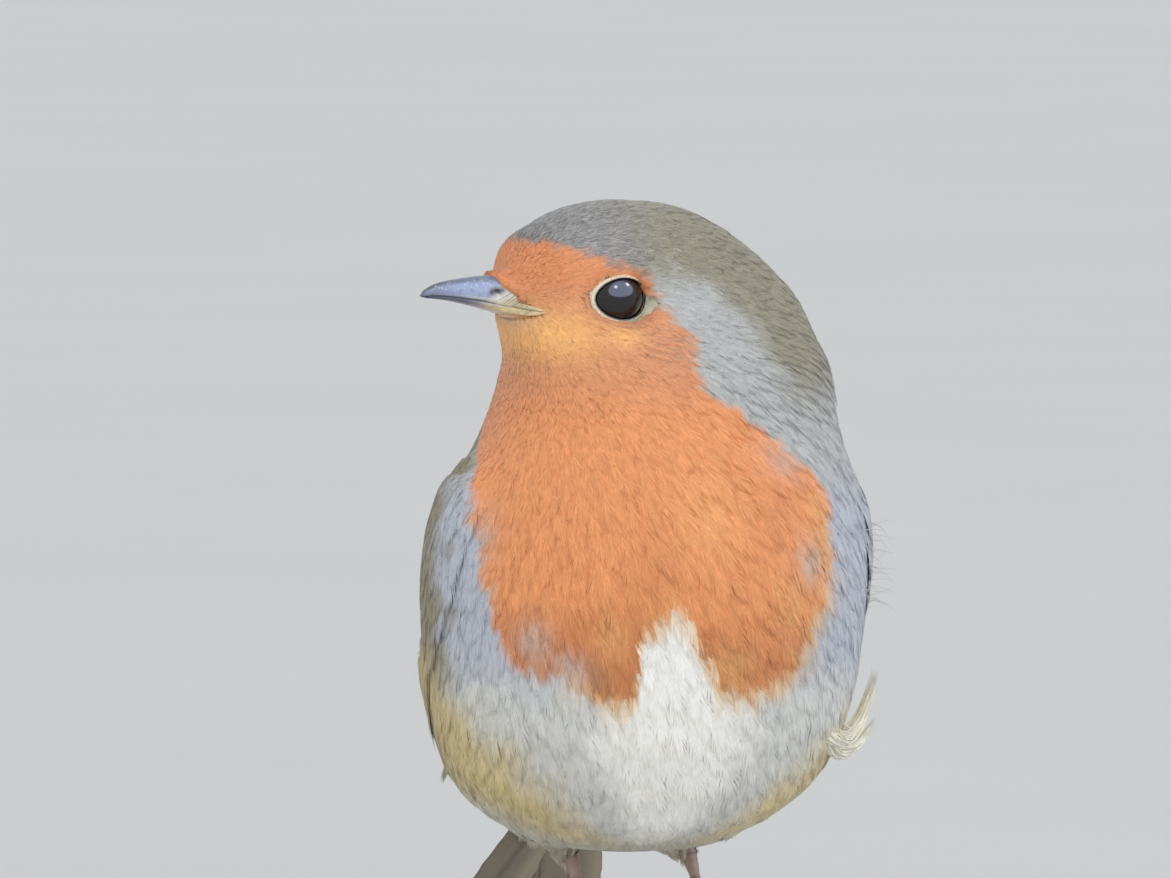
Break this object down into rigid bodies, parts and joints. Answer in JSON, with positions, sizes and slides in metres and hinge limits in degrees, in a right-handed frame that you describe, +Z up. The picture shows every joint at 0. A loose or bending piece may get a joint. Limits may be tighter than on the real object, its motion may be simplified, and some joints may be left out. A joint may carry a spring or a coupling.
{
  "type": "european robin",
  "caption": "Life-size still european robin standing on both feet, plump body, short tail, folded wings, head turned to its right, thin pointed bill.",
  "frame": {"origin": "on the floor, at the centre of the whole bird's bounding box seen from above", "axes": "+Z up, -Y the way the breast faces, +X the bird's left side"},
  "size_m": [0.0542, 0.1078, 0.0998],
  "materials": {
    "breast_plumage": "soft orange breast feathers over a white belly, with blue-grey sides",
    "head_plumage": "short feathers, orange on the face and olive brown on the crown",
    "neck_plumage": "blue-grey and olive feathers beside the orange throat",
    "wing_plumage": "olive brown wing feathers with paler edges",
    "tail_plumage": "warm brown tail feathers",
    "eye": "wet, very dark brown",
    "bill_horn": "blue-grey horn, yellowish at the gape",
    "leg_skin": "pinkish brown scaly skin",
    "claw_horn": "dark brown horn"
  },
  "bodies": {
    "root": {"trunk": "breast_plumage", "neck": "neck_plumage", "head": "head_plumage", "eye_left": "eye", "eye_right": "eye", "bill_upper": "bill_horn", "bill_lower": "bill_horn", "wing_left": "wing_plumage", "wing_right": "wing_plumage", "tail": "tail_plumage", "thigh_left": "breast_plumage", "thigh_right": "breast_plumage", "shank_left": "leg_skin", "shank_right": "leg_skin", "foot_left": "leg_skin", "foot_right": "leg_skin", "claw_left_inner": "claw_horn", "claw_left_middle": "claw_horn", "claw_left_outer": "claw_horn", "claw_left_hind": "claw_horn", "claw_right_inner": "claw_horn", "claw_right_middle": "claw_horn", "claw_right_outer": "claw_horn", "claw_right_hind": "claw_horn"}
  },
  "joints": []
}
